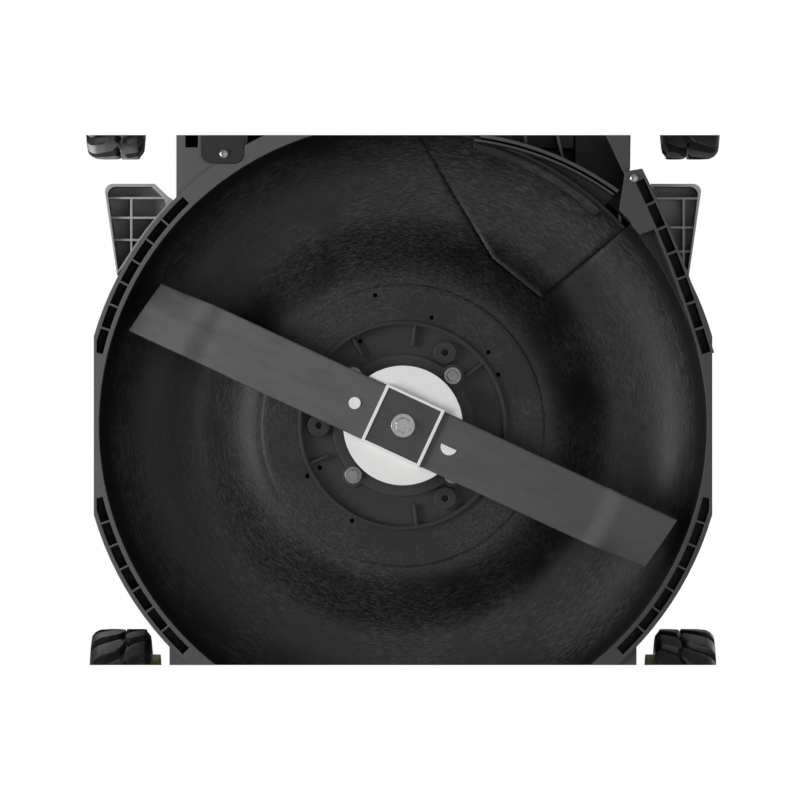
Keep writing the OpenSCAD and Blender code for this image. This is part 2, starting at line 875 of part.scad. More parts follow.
module axle_clamps() {
    color(steel) mower() {
        for (s = [-1, 1])
            difference() {
                union() {
                    x_rod(9.3, s * 150 - 8, s * 150 + 8, rear_pivot_y, rear_r);
                    block([s * 150 - 8, rear_pivot_y - 11, rear_r], [s * 150 + 8, rear_pivot_y + 11, 123.8]);
                }
                x_rod(axle_r + running, s * 150 - 9, s * 150 + 9, rear_pivot_y, rear_r);
            }
        for (s = [-1, 1])
            difference() {
                union() {
                    x_rod(11, s * 96 - 6, s * 96 + 6, front_pivot_y, front_r);
                    block([s * 96 - 6, front_pivot_y - 11, 88.1], [s * 96 + 6, front_pivot_y + 11, front_r]);
                }
                x_rod(axle_r + running, s * 96 - 9, s * 96 + 9, front_pivot_y, front_r);
            }
    }
}

// ---- Wheels ----

module at_wheel(side, x, y, r) {
    mower() translate([side * x, y, r]) rotate([0, side * 90, 0]) children();
}

module tyre_shape(r, w) {
    seat = r - 22;
    color(rubber) rotate_extrude() polygon([
        [seat, 4 - w / 2], [r - 14, -w / 2], [r - 3, 5.5 - w / 2], [r, 9 - w / 2],
        [r, w / 2 - 9], [r - 3, w / 2 - 5.5], [r - 14, w / 2], [seat, w / 2 - 4]
    ]);
}

module rim_shape(r, w) {
    seat = r - 22;
    color(lime) difference() {
        rotate_extrude() polygon([
            [axle_r + running, -w / 2 + 3], [17, -w / 2 + 3], [19, -3], [seat - 16, -3],
            [seat - 8, -w / 2 + 0.5], [seat - 0.3, -w / 2 + 0.5], [seat - 0.3, w / 2 - 5],
            [seat - 8, w / 2 - 5], [seat - 14, 3], [19, 3], [17, w / 2 - 14.6], [axle_r + running, w / 2 - 14.6]
        ]);
        for (a = [0:40:320])
            rotate([0, 0, a]) translate([(seat + 3) / 2, 0, -10]) cylinder(r = 8.5, h = 20);
    }
}

module hubcap_shape(r, w) {
    seat = r - 22;
    color(dark_grey) rotate_extrude() polygon([
        [0, w / 2 - 2.5], [20, w / 2 - 3], [seat - 24, w / 2 - 10], [seat - 15, w / 2 - 16],
        [seat - 16, 3.1], [seat - 19, 3.1], [seat - 19, w / 2 - 17], [24, w / 2 - 7], [0, w / 2 - 5.4]
    ]);
}

module tyre_front_left() { at_wheel(1, front_wheel_x, front_wheel_y, front_r) tyre_shape(front_r, front_tyre_w); }
module tyre_front_right() { at_wheel(-1, front_wheel_x, front_wheel_y, front_r) tyre_shape(front_r, front_tyre_w); }
module tyre_rear_left() { at_wheel(1, rear_wheel_x, rear_wheel_y, rear_r) tyre_shape(rear_r, rear_tyre_w); }
module tyre_rear_right() { at_wheel(-1, rear_wheel_x, rear_wheel_y, rear_r) tyre_shape(rear_r, rear_tyre_w); }
module rim_front_left() { at_wheel(1, front_wheel_x, front_wheel_y, front_r) rim_shape(front_r, front_tyre_w); }
module rim_front_right() { at_wheel(-1, front_wheel_x, front_wheel_y, front_r) rim_shape(front_r, front_tyre_w); }
module rim_rear_left() { at_wheel(1, rear_wheel_x, rear_wheel_y, rear_r) rim_shape(rear_r, rear_tyre_w); }
module rim_rear_right() { at_wheel(-1, rear_wheel_x, rear_wheel_y, rear_r) rim_shape(rear_r, rear_tyre_w); }
module hubcap_front_left() { at_wheel(1, front_wheel_x, front_wheel_y, front_r) hubcap_shape(front_r, front_tyre_w); }
module hubcap_front_right() { at_wheel(-1, front_wheel_x, front_wheel_y, front_r) hubcap_shape(front_r, front_tyre_w); }
module hubcap_rear_left() { at_wheel(1, rear_wheel_x, rear_wheel_y, rear_r) hubcap_shape(rear_r, rear_tyre_w); }
module hubcap_rear_right() { at_wheel(-1, rear_wheel_x, rear_wheel_y, rear_r) hubcap_shape(rear_r, rear_tyre_w); }

// ---- Handle ----

// Handle frame: origin at the fold pivot, +Y along the tubes towards the grip
module handle_frame() {
    mower() translate([0, pivot_y, pivot_z]) rotate([handle_angle, 0, 0]) children();
}

module y_rod(r, y0, y1, x = 0, z = 0) {
    translate([x, y0, z]) rotate([-90, 0, 0]) cylinder(r = r, h = y1 - y0);
}

module bracket_shape() {
    difference() {
        union() {
            block([160, 308, shroud_z], [196, 352, shroud_z + 4]);
            for (x = [160, 193])
                hull() {
                    block([x, 308, shroud_z], [x + 3, 352, shroud_z + 4]);
                    x_rod(15, x, x + 3, pivot_y, pivot_z, $fn = 32);
                }
        }
        x_rod(4 + running, 150, 200, pivot_y, pivot_z);
    }
}

module bracket_left() { color(steel) mower() bracket_shape(); }
module bracket_right() { color(steel) mower() mirror([1, 0, 0]) bracket_shape(); }

module lower_handle() {
    color(black) handle_frame() {
        for (s = [-1, 1])
            difference() {
                y_rod(tube_r, -17, lower_len, s * half_gap);
                y_rod(tube_bore, 60, lower_len + 1, s * half_gap);
                x_rod(4 + running, s * half_gap - 20, s * half_gap + 20, 0, 0);
            }
        x_rod(8, -half_gap + 13, half_gap - 13, brace_at, 0);
    }
}

module fold_knob_shape() {
    x_rod(4, 158, 201, 0, 0);
    translate([198, 0, 0]) rotate([0, 90, 0]) {
        cylinder(r = 8, h = 7);
        translate([0, 0, 5.5]) linear_extrude(11.5) difference() {
            circle(r = 18);
            for (a = [0:60:300])
                rotate([0, 0, a]) translate([19.5, 0]) circle(r = 5);
        }
    }
}

module fold_knob_left() { color(black) handle_frame() fold_knob_shape(); }
module fold_knob_right() { color(black) handle_frame() mirror([1, 0, 0]) fold_knob_shape(); }

module clamp_collars() {
    color(black) handle_frame() for (s = [-1, 1])
        difference() {
            union() {
                y_rod(19, 488, 534, s * half_gap);
                block([min(s * 188, s * 215), 507, -11], [max(s * 188, s * 215), 527, 11]);
            }
            y_rod(tube_r, 480, lower_len + 0.2, s * half_gap);
            y_rod(tube_bore, 480, 540, s * half_gap);
            block([min(s * 196.5, s * 220), 500, -7.4], [max(s * 196.5, s * 220), 540, 7.4]);
        }
    color(steel) handle_frame() for (s = [-1, 1])
        z_rod(2.45, -11, 11, s * 207, 517);
}

module cam_shape(s) {
    difference() {
        union() {
            z_rod(9, -7, 7, s * 207, 517);
            hull() {
                z_rod(5, -7, 7, s * 211, 515, $fn = 32);
                z_rod(3, -7, 7, s * 213, 452, $fn = 32);
            }
        }
        z_rod(2.5, -20, 20, s * 207, 517);
    }
}

module cam_left() { color(lime) handle_frame() cam_shape(1); }
module cam_right() { color(lime) handle_frame() cam_shape(-1); }

module upper_tubes(r, over) {
    for (s = [-1, 1]) {
        y_rod(r, lower_len - 220 - over, handle_len - bend_r, s * half_gap);
        translate([s * (half_gap - bend_r), handle_len - bend_r, 0])
            rotate([0, 0, s > 0 ? 0 : 90]) rotate_extrude(angle = 90) translate([bend_r, 0]) circle(r = r);
    }
    x_rod(r, bend_r - half_gap, half_gap - bend_r, handle_len, 0);
}

module upper_handle() {
    color(black) handle_frame() difference() {
        union() {
            upper_tubes(leg_r, 0);
            for (s = [-1, 1])
                block([s * half_gap - 5, bail_at - 8, 4], [s * half_gap + 5, bail_at + 8, 29]);
        }
        upper_tubes(leg_r - 1.6, 1);
        x_rod(4 + running, -half_gap - 10, half_gap + 10, bail_at, 22);
    }
}

module foam_grip() {
    color(rubber) handle_frame() difference() {
        x_rod(16.5, -108, 108, handle_len, 0);
        x_rod(leg_r, -109, 109, handle_len, 0);
    }
}

module switch_box() {
    color(black) handle_frame() difference() {
        union() {
            translate([0, 0, -20]) linear_extrude(44) polygon(round_box([-202, 796], [-112, 896], 14));
            y_rod(19, 806, 886, -half_gap);
        }
        y_rod(leg_r, 780, 910, -half_gap);
        z_rod(11.4, 12, 40, -140, 846);
    }
}

module start_button() {
    color(lime) handle_frame() z_rod(11, 16.5, 27.5, -140, 846);
}

module bail_lever() {
    color(lime) handle_frame() translate([0, bail_at, 22]) rotate([22, 0, 0]) {
        for (s = [-1, 1]) {
            y_rod(4, 0, 68, s * 150);
            x_rod(4, min(s * 146, s * 182), max(s * 146, s * 182), 0, 0);
            translate([s * 126, 68, 0]) rotate([0, 0, s > 0 ? 0 : 90]) rotate_extrude(angle = 90)
                translate([24, 0]) circle(r = 4);
        }
        x_rod(4, -126, 126, 92, 0);
    }
}

deck();
shroud();
fender_left();
fender_right();
motor_flange();
motor_can();
motor_bolts();
controller();
cowl();
battery_bay();
battery();
rear_cover();
mulch_plug();
door_pin();
door_springs();
bracket_left();
bracket_right();
deck_screws();
axle_clamps();
detent_plate();
shaft();
insulator();
blade();
clamp_plate();
blade_bolt();
rear_axle();
rear_nuts();
height_lever();
lever_knob();
front_axle();
front_nuts();
tie_rod();
tyre_front_left();
rim_front_left();
hubcap_front_left();
tyre_front_right();
rim_front_right();
hubcap_front_right();
tyre_rear_left();
rim_rear_left();
hubcap_rear_left();
tyre_rear_right();
rim_rear_right();
hubcap_rear_right();
battery_lid();
battery_latch();
safety_key();
rear_door();
trailing_shield();
lower_handle();
clamp_collars();
fold_knob_left();
fold_knob_right();
upper_handle();
foam_grip();
switch_box();
start_button();
cam_left();
cam_right();
bail_lever();
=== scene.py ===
"""A push lawn mower seen from straight below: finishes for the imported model, and its softer pieces.

Everything is in metres in the model's own frame: -Y is the front, +X is the operator's left, +Z is up and
the ground is z = 0. The blade turns about the line x = 0, y = BLADE_Y.
"""

import math

import bpy
import numpy as np
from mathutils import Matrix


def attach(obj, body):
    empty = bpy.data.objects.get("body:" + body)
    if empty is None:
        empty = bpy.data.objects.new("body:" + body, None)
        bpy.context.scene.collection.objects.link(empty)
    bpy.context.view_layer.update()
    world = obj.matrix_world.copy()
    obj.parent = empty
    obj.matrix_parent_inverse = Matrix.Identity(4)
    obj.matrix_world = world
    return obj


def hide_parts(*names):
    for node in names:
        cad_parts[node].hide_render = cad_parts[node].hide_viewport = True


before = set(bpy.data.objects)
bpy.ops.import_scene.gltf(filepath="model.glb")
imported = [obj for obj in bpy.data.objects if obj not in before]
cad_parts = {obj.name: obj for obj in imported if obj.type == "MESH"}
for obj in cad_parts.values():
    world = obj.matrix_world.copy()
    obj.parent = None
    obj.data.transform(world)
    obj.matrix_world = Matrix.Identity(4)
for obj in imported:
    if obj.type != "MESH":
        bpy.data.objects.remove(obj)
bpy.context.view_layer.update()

BLADE_Y = -0.317
BLADE_TURN = math.radians(24.9)
BLADE_MIDDLE_Z = 0.0636
DOOR_PIN = (BLADE_Y + 0.342, 0.242)
HANDLE_PIVOT = (BLADE_Y + 0.338, 0.205)
HANDLE_LEAN = math.radians(49.5)
HANDLE_LENGTH = 1.020
LEVER_PIVOT = (BLADE_Y + 0.3035, 0.1143)
LEVER_LEAN = math.radians(4.0)
LEVER_X = -0.2130
WHEELS = {
    "front_left": (1, 0.2435, -0.5978, 0.1016, 0.061),
    "front_right": (-1, 0.2435, -0.5978, 0.1016, 0.061),
    "rear_left": (1, 0.2488, 0.0315, 0.1143, 0.0585),
    "rear_right": (-1, 0.2488, 0.0315, 0.1143, 0.0585),
}


# ---- Camera, light and floor ----

PICTURE_SIDE = 800
METRES_A_DOT = 0.000873
LENS_MM, FILM_MM = 400.0, 36.0
RIM_Z = 0.040
CARD_Z = -0.02
BAND_TOP, BAND_BOTTOM = 0.2536, -0.2091


def set_camera():
    """A long lens straight below the deck, looking up, with the machine's rear at the top of the picture."""
    distance = PICTURE_SIDE * METRES_A_DOT * LENS_MM / FILM_MM
    data = bpy.data.cameras.new("camera")
    data.lens, data.sensor_width = LENS_MM, FILM_MM
    data.clip_start, data.clip_end = 0.5, 80.0
    camera = bpy.data.objects.new("camera", data)
    camera.location = (0.0026, BLADE_Y + 0.0223, RIM_Z - distance)
    camera.rotation_euler = (0.0, math.pi, 0.0)
    bpy.context.scene.collection.objects.link(camera)
    bpy.context.scene.camera = camera
    return camera.location.copy(), distance


def softbox(name, place, target, side, watts):
    """A square area light that the camera doesn't see, facing its target."""
    data = bpy.data.lights.new(name, "AREA")
    data.shape, data.size, data.energy = "SQUARE", side, watts
    light = bpy.data.objects.new(name, data)
    light.location = place
    away = np.array(place, float) - np.array(target, float)
    flat = math.hypot(away[0], away[1])
    light.rotation_euler = (math.atan2(flat, away[2]), 0.0, math.atan2(away[0], -away[1]))
    light.visible_camera = False
    bpy.context.scene.collection.objects.link(light)


def set_lights():
    middle = (0.0, BLADE_Y, 0.05)
    softbox("key_below", (2.3, -0.2, -1.7), middle, 1.4, 52.0)
    softbox("fill_below", (-0.9, -0.9, -3.2), middle, 2.2, 16.0)
    softbox("key_above", (1.9, -2.3, 3.0), (0.0, -0.1, 0.3), 2.2, 170.0)
    softbox("fill_above", (-2.6, 0.6, 2.4), (0.0, 0.0, 0.3), 2.4, 80.0)
    softbox("back_above", (0.6, 3.0, 2.2), (0.0, 0.0, 0.4), 2.2, 70.0)


def set_world():
    """White where the camera sees past the machine, and a softer even light on the machine itself."""
    world = bpy.data.worlds.new("studio")
    world.use_nodes = True
    tree = world.node_tree
    seen, light = tree.nodes["Background"], tree.nodes.new("ShaderNodeBackground")
    mix, path = tree.nodes.new("ShaderNodeMixShader"), tree.nodes.new("ShaderNodeLightPath")
    seen.inputs["Color"].default_value = (1.0, 1.0, 1.0, 1.0)
    light.inputs["Color"].default_value = (1.0, 1.0, 1.0, 1.0)
    light.inputs["Strength"].default_value = 0.24
    tree.links.new(path.outputs["Is Camera Ray"], mix.inputs[0])
    tree.links.new(light.outputs[0], mix.inputs[1])
    tree.links.new(seen.outputs[0], mix.inputs[2])
    tree.links.new(mix.outputs[0], tree.nodes["World Output"].inputs["Surface"])
    bpy.context.scene.world = world


def flat_stage(name, x, y, z, material):
    """A level rectangle of the stage, facing up."""
    corners = [(x[0], y[0], z), (x[1], y[0], z), (x[1], y[1], z), (x[0], y[1], z)]
    mesh = bpy.data.meshes.new(name)
    mesh.from_pydata(corners, [], [(0, 1, 2, 3)])
    mesh.materials.append(material)
    panel = bpy.data.objects.new(name, mesh)
    bpy.context.scene.collection.objects.link(panel)
    panel.visible_shadow = panel.visible_diffuse = panel.visible_glossy = False
    panel.visible_transmission = False


# ---- Finishes ----


class Value:
    """A socket of a finish. Arithmetic on it adds the Math nodes that work it out."""

    def __init__(self, finish, socket):
        self.finish, self.socket = finish, socket

    def sums(self, operation, *others):
        return self.finish.node("ShaderNodeMath", {"operation": operation}, dict(enumerate((self, *others))))

    def __add__(self, other):
        return self.sums("ADD", other)

    __radd__ = __add__

    def __mul__(self, other):
        return self.sums("MULTIPLY", other)

    __rmul__ = __mul__

    def __sub__(self, other):
        return self.sums("SUBTRACT", other)

    def __rsub__(self, other):
        return self.finish.node("ShaderNodeMath", {"operation": "SUBTRACT"}, {0: other, 1: self})

    def __truediv__(self, other):
        return self.sums("DIVIDE", other)

    def __pow__(self, other):
        return self.sums("POWER", other)

    def step(self, low, high):
        """0 below low, 1 above high and smooth between; low may be the larger."""
        return self.finish.node(
            "ShaderNodeMapRange",
            {"interpolation_type": "SMOOTHSTEP"},
            {"Value": self, "From Min": low, "From Max": high},
        )


class Finish:
    """One material: a Principled shader and the nodes that feed it."""

    def __init__(self, name):
        self.material = bpy.data.materials.new(name)
        self.material.use_nodes = True
        self.tree = self.material.node_tree
        self.shader = self.tree.nodes["Principled BSDF"]

    def feed(self, socket, value):
        """Links a value to a socket, or sets the socket to a number or a colour."""
        if isinstance(value, Value):
            self.tree.links.new(value.socket, socket)
        elif isinstance(value, (tuple, list)) and socket.type == "RGBA":
            socket.default_value = (*value[:3], 1.0)
        else:
            socket.default_value = value

    def node(self, kind, settings=None, inputs=None, out=0):
        """Adds a node: its settings first, then its sockets' values or links; returns one of its outputs."""
        made = self.tree.nodes.new(kind)
        for key, value in (settings or {}).items():
            setattr(made, key, value)
        for key, value in (inputs or {}).items():
            self.feed(made.inputs[key], value)
        return Value(self, made.outputs[out])

    def place(self):
        """Object coordinates: the same as the model's frame, because every piece sits at the origin."""
        return self.node("ShaderNodeTexCoord", out=3)

    def parts(self, vector):
        """The x, y and z of a vector."""
        split = self.node("ShaderNodeSeparateXYZ", inputs={0: vector}).socket.node
        return [Value(self, output) for output in split.outputs]

    def join(self, x, y, z):
        return self.node("ShaderNodeCombineXYZ", inputs={0: x, 1: y, 2: z})

    def stretch(self, vector, scale):
        """A vector stretched along each axis."""
        return self.node("ShaderNodeMapping", inputs={"Vector": vector, "Scale": scale})

    def noise(self, vector, scale, detail=2.0, rough=0.5, distortion=0.0):
        return self.node(
            "ShaderNodeTexNoise",
            inputs={
                "Vector": vector,
                "Scale": scale,
                "Detail": detail,
                "Roughness": rough,
                "Distortion": distortion,
            },
        )

    def cells(self, vector, scale):
        return self.node(
            "ShaderNodeTexVoronoi", {"feature": "F1"}, {"Vector": vector, "Scale": scale, "Randomness": 1.0}
        )

    def mix(self, share, first, second):
        """A colour between two others."""
        return self.node("ShaderNodeMix", {"data_type": "RGBA"}, {0: share, 6: first, 7: second}, out=2)

    def around(self, x, y, y_axis):
        """Distance from an upright axis, and the direction from it as a unit pair, so patterns close."""
        across = y - y_axis
        reach = (x * x + across * across) ** 0.5
        return reach, x / reach, across / reach

    def edges(self, width):
        """How near a sharp edge lies, 0 to 1, and the normal rounded over that edge."""
        rounded = self.node("ShaderNodeBevel", {"samples": 6}, {"Radius": width})
        true = self.node("ShaderNodeNewGeometry", out=1)
        even = self.node("ShaderNodeVectorMath", {"operation": "DOT_PRODUCT"}, {0: rounded, 1: true}, out=1)
        return (1.0 - even).step(0.004, 0.12), rounded

    def soften(self, share, near, width):
        """A normal rounded over a wider band where share is 1, for broad curves made of narrow flats."""
        wide = self.node("ShaderNodeBevel", {"samples": 10}, {"Radius": width})
        return self.node("ShaderNodeMix", {"data_type": "VECTOR"}, {0: share, 4: near, 5: wide}, out=1)

    def bump(self, height, strength, depth, normal=None):
        inputs = {"Height": height, "Strength": strength, "Distance": depth}
        if normal is not None:
            inputs["Normal"] = normal
        return self.node("ShaderNodeBump", inputs=inputs)

    def set(self, **sockets):
        """Feeds the shader's own sockets; an underscore in a name stands for a space."""
        for name, value in sockets.items():
            self.feed(self.shader.inputs[name.replace("_", " ")], value)
        return self.material


def mower_deck_black():
    """Moulded black deck: grass thrown round by the blade leaves fine arcs, and the rim is scuffed grey and
    painted paler still as painted light, paler towards +X as painted light from that side and darker towards
    the front as painted shade."""
    f = Finish("mower_deck_black")
    place = f.place()
    x, y, z = f.parts(place)
    reach, east, north = f.around(x, y, BLADE_Y)
    fine = f.noise(f.join(reach * 1100.0, east * 34.0, north * 34.0), 1.0, 3.0, 0.62)
    broad = f.noise(f.join(reach * 360.0, east * 13.0, north * 13.0), 1.0, 2.0, 0.55)
    patches = f.noise(place, 13.0, 3.0, 0.6)
    inside = z.step(0.048, 0.062)
    bowl = inside * reach.step(0.262, 0.252)
    marks = (fine.step(0.43, 0.64) * 0.72 + broad.step(0.46, 0.70) * 0.28) * patches.step(0.26, 0.56) * bowl
    under = reach.step(0.088, 0.094)
    edge, rounded = f.edges(0.0011)
    # Painted light: the rim is painted paler than the bowl, partly scuffing and partly light on its lit
    # faces, and paler still towards +X as light from that side.
    rim_painted_side_light = x.step(-0.30, 0.30)
    rim = f.mix(rim_painted_side_light, (0.058, 0.059, 0.060), (0.112, 0.113, 0.114))
    bowl_colour = f.mix(patches, (0.0018, 0.0018, 0.0020), (0.0088, 0.0089, 0.0093))
    well = f.mix(under, (0.0240, 0.0241, 0.0246), bowl_colour)
    scuffed = f.mix(marks * under, well, (0.054, 0.054, 0.056))
    # Painted shade: the rim is darkened towards the front.
    rim = f.mix(y.step(-0.30, -0.62) * 0.55, rim, (0.030, 0.0305, 0.031))
    worn = f.mix(edge * 0.35, f.mix(inside, rim, scuffed), (0.085, 0.086, 0.088))
    grain = f.noise(place, 900.0, 2.0, 0.6)
    height = f.noise(place, 520.0, 3.0, 0.5) * 0.5 + marks * 0.9
    return f.set(
        Base_Color=f.mix(grain.step(0.3, 0.8) * 0.22, worn, (0.0, 0.0, 0.0)),
        Roughness=0.46 + marks * 0.14 + patches * 0.08,
        Normal=f.bump(height, 0.40, 0.0003, f.soften(bowl * reach.step(0.127, 0.131), rounded, 0.008)),
        Specular_IOR_Level=0.50,
    )


def moulded_cover(name, dark, light, grain_scale=640.0, rough=0.42, painted_underside_light=0.0, broad=False):
    """Textured injection moulding: a leather-like grain, faint flow marks, rubbed lighter along its edges.
    Where asked, high faces that look down are painted paler as painted light, or flanks whose flats read as
    one curve."""
    f = Finish(name)
    place = f.place()
    pebbles = f.cells(place, grain_scale)
    flow = f.noise(f.stretch(place, (1.0, 0.35, 1.0)), 14.0, 4.0, 0.6)
    dust = f.noise(place, 160.0, 4.0, 0.65).step(0.56, 0.78)
    edge, rounded = f.edges(0.0012)
    if broad:
        x, y, z = f.parts(place)
        reach = f.around(x, y, BLADE_Y)[0]
        back = y - BLADE_Y
        flank = reach.step(0.225, 0.240) * z.step(0.160, 0.150)
        flank = flank * back.step(-0.215, -0.195) * back.step(0.225, 0.205)
        rounded = f.soften(flank, rounded, 0.030)
    base = f.mix(flow, dark, light)
    lifted = tuple(min(1.0, c * 1.9 + 0.02) for c in light)
    base = f.mix(edge * 0.5 + dust * 0.10, base, lifted)
    # Painted light: where asked, high faces that look down are mixed towards pale grey, standing in for light
    # on the undersides, not a dust film.
    if painted_underside_light:
        x, y, z = f.parts(place)
        facing = f.parts(f.node("ShaderNodeNewGeometry", out=1))[2]
        base = f.mix(z.step(0.046, 0.066) * facing.step(-0.6, -0.9) * painted_underside_light, base, (0.62, 0.62, 0.61))
    return f.set(
        Base_Color=base,
        Roughness=rough + flow * 0.12 + dust * 0.06,
        Normal=f.bump(pebbles * 0.7 + flow * 0.3, 0.28, 0.0003, rounded),
        Specular_IOR_Level=0.45,
    )


def powder_coated_blade():
    """Dark powder-coated blade steel, painted paler towards its +X end as painted light from that side:
    orange peel, grass stains and scratches along it, pale specks and bare worn edges."""
    f = Finish("powder_coated_blade")
    place = f.place()
    x, y, z = f.parts(place)
    along = x * math.cos(BLADE_TURN) + (y - BLADE_Y) * math.sin(BLADE_TURN)
    across = (y - BLADE_Y) * math.cos(BLADE_TURN) - x * math.sin(BLADE_TURN)
    peel = f.noise(place, 620.0, 3.0, 0.6)
    stains = f.noise(f.join(along * 26.0, across * 90.0, z * 40.0), 1.0, 4.0, 0.65)
    scratch = f.noise(f.join(along * 90.0, across * 1500.0, z), 1.0, 2.0, 0.5).step(0.66, 0.80)
    specks = f.cells(place, 420.0).step(0.16, 0.05)
    edge, rounded = f.edges(0.0009)
    # Painted light: the blade's base colour grows paler towards its +X end, standing in for light from that
    # side.
    blade_painted_side_light = along.step(-0.26, 0.26)
    base = f.mix(blade_painted_side_light, (0.075, 0.076, 0.077), (0.128, 0.129, 0.130))
    base = f.mix(stains.step(0.35, 0.75) * 0.38, base, (0.050, 0.050, 0.050))
    base = f.mix(scratch * 0.20 + specks * 0.16, base, (0.16, 0.16, 0.16))
    base = f.mix(edge * 0.6, base, (0.22, 0.22, 0.215))
    return f.set(
        Base_Color=base,
        Metallic=edge * 0.5,
        Roughness=0.50 + stains * 0.16 - edge * 0.12,
        Normal=f.bump(peel * 0.8 + scratch * -0.5, 0.30, 0.00035, rounded),
    )


def white_nylon():
    """White glass-filled nylon: fine speckle, a little dust in patches, and edges rubbed duller."""
    f = Finish("white_nylon")
    place = f.place()
    speckle = f.noise(place, 800.0, 3.0, 0.6)
    dust = f.noise(place, 60.0, 4.0, 0.6).step(0.5, 0.8)
    edge, rounded = f.edges(0.0007)
    base = f.mix(speckle, (0.90, 0.90, 0.89), (0.96, 0.96, 0.95))
    base = f.mix(dust * 0.12 + edge * 0.10, base, (0.52, 0.52, 0.48))
    return f.set(
        Base_Color=base,
        Roughness=0.46 + dust * 0.2,
        Normal=f.bump(speckle, 0.15, 0.0003, rounded),
        Specular_IOR_Level=0.4,
    )


def plated_steel(name="plated_steel", tone=0.52, rough=0.30, brushed=1.0):
    """Zinc-plated steel: crystal bloom in patches, fine drawing lines, dull spots where it has aged."""
    f = Finish(name)
    place = f.place()
    x, y, z = f.parts(place)
    lines = f.noise(f.join(x * 30.0, y * 900.0, z * 900.0), 1.0, 2.0, 0.5)
    bloom = f.cells(place, 420.0)
    aged = f.noise(place, 45.0, 4.0, 0.65).step(0.5, 0.75)
    edge, rounded = f.edges(0.0006)
    base = f.mix(bloom, (tone * 0.95, tone * 0.955, tone * 0.965), (tone, tone * 1.01, tone * 1.02))
    base = f.mix(aged * 0.30, base, (tone * 0.55, tone * 0.53, tone * 0.50))
    base = f.mix(edge * 0.4, base, (min(1.0, tone * 1.5),) * 3)
    return f.set(
        Base_Color=base,
        Metallic=0.92 - aged * 0.25,
        Roughness=rough + aged * 0.22 + lines * 0.06 * brushed,
        Normal=f.bump(lines * brushed * 0.6 + bloom * 0.1, 0.06, 0.00025, rounded),
    )


def cast_metal(name, tone, metallic):
    """Die-cast alloy: a sandy skin, faint swirls of the melt, rubbed edges."""
    f = Finish(name)
    place = f.place()
    sand = f.noise(place, 700.0, 4.0, 0.7)
    swirl = f.noise(place, 24.0, 4.0, 0.6, 1.2)
    edge, rounded = f.edges(0.0009)
    base = f.mix(swirl, (tone * 0.8, tone * 0.81, tone * 0.83), (tone * 1.1, tone * 1.1, tone * 1.12))
    base = f.mix(edge * 0.45, base, (min(1.0, tone * 2.2 + 0.02),) * 3)
    return f.set(
        Base_Color=base,
        Metallic=metallic,
        Roughness=0.48 + swirl * 0.14,
        Normal=f.bump(sand, 0.35, 0.0003, rounded),
    )


def tyre_rubber():
    """Tyre rubber: a dull grained skin, with dust in patches and paler edges."""
    f = Finish("tyre_rubber")
    place = f.place()
    skin = f.noise(place, 480.0, 4.0, 0.65)
    dust = f.noise(place, 38.0, 5.0, 0.62).step(0.46, 0.72)
    edge, rounded = f.edges(0.0012)
    base = f.mix(skin, (0.0060, 0.0060, 0.0062), (0.0110, 0.0110, 0.0112))
    base = f.mix(dust * 0.35 + edge * 0.25, base, (0.036, 0.036, 0.034))
    return f.set(
        Base_Color=base,
        Roughness=0.56 + dust * 0.2,
        Normal=f.bump(skin, 0.40, 0.0004, rounded),
        Specular_IOR_Level=0.40,
    )


def flap_rubber():
    """Extruded flap rubber: fine run lines down the sheet and grass dust along its lower edge."""
    f = Finish("flap_rubber")
    place = f.place()
    x, y, z = f.parts(place)
    lines = f.noise(f.join(x * 500.0, y * 500.0, z * 12.0), 1.0, 2.0, 0.5)
    dust = f.noise(place, 70.0, 4.0, 0.6).step(0.48, 0.8) * z.step(0.09, 0.01)
    edge, rounded = f.edges(0.0010)
    base = f.mix(lines, (0.012, 0.012, 0.0125), (0.019, 0.019, 0.0195))
    base = f.mix(dust * 0.5 + edge * 0.2, base, (0.05, 0.052, 0.04))
    return f.set(Base_Color=base, Roughness=0.62 + dust * 0.2, Normal=f.bump(lines, 0.25, 0.0004, rounded))


def grip_foam():
    """Closed-cell foam: small dark pores in a soft skin, a little paler and smoother in patches."""
    f = Finish("grip_foam")
    place = f.place()
    x, y, z = f.parts(place)
    pores = f.cells(place, 900.0).step(0.10, 0.42)
    soft = f.noise(place, 70.0, 3.0, 0.6)
    held = f.noise(f.join(x * 14.0, y * 4.0, z * 4.0), 1.0, 2.0, 0.5).step(0.45, 0.65)
    base = f.mix(pores, (0.006, 0.006, 0.006), (0.021, 0.021, 0.022))
    base = f.mix(held * 0.3, base, (0.034, 0.034, 0.035))
    return f.set(
        Base_Color=base,
        Roughness=0.86 - held * 0.16,
        Normal=f.bump(pores * 0.8 + soft * 0.4, 0.5, 0.0005),
        Specular_IOR_Level=0.3,
    )


def coated_tube():
    """Black powder coat on tube: orange peel, rubbed thin in places, with hairline scratches round it."""
    f = Finish("coated_tube")
    place = f.place()
    x, y, z = f.parts(place)
    peel = f.noise(place, 420.0, 3.0, 0.6)
    rub = f.noise(place, 22.0, 4.0, 0.6).step(0.52, 0.74)
    hair = f.noise(f.join(x * 40.0, y * 700.0, z * 700.0), 1.0, 2.0, 0.5).step(0.68, 0.80)
    edge, rounded = f.edges(0.0009)
    base = f.mix(peel, (0.014, 0.0142, 0.015), (0.022, 0.0222, 0.0232))
    base = f.mix(rub * 0.25 + hair * 0.20 + edge * 0.3, base, (0.075, 0.076, 0.078))
    return f.set(
        Base_Color=base,
        Roughness=0.34 + rub * 0.16 + hair * 0.08,
        Normal=f.bump(peel, 0.22, 0.0003, rounded),
        Coat_Weight=0.12 + rub * -0.08,
    )


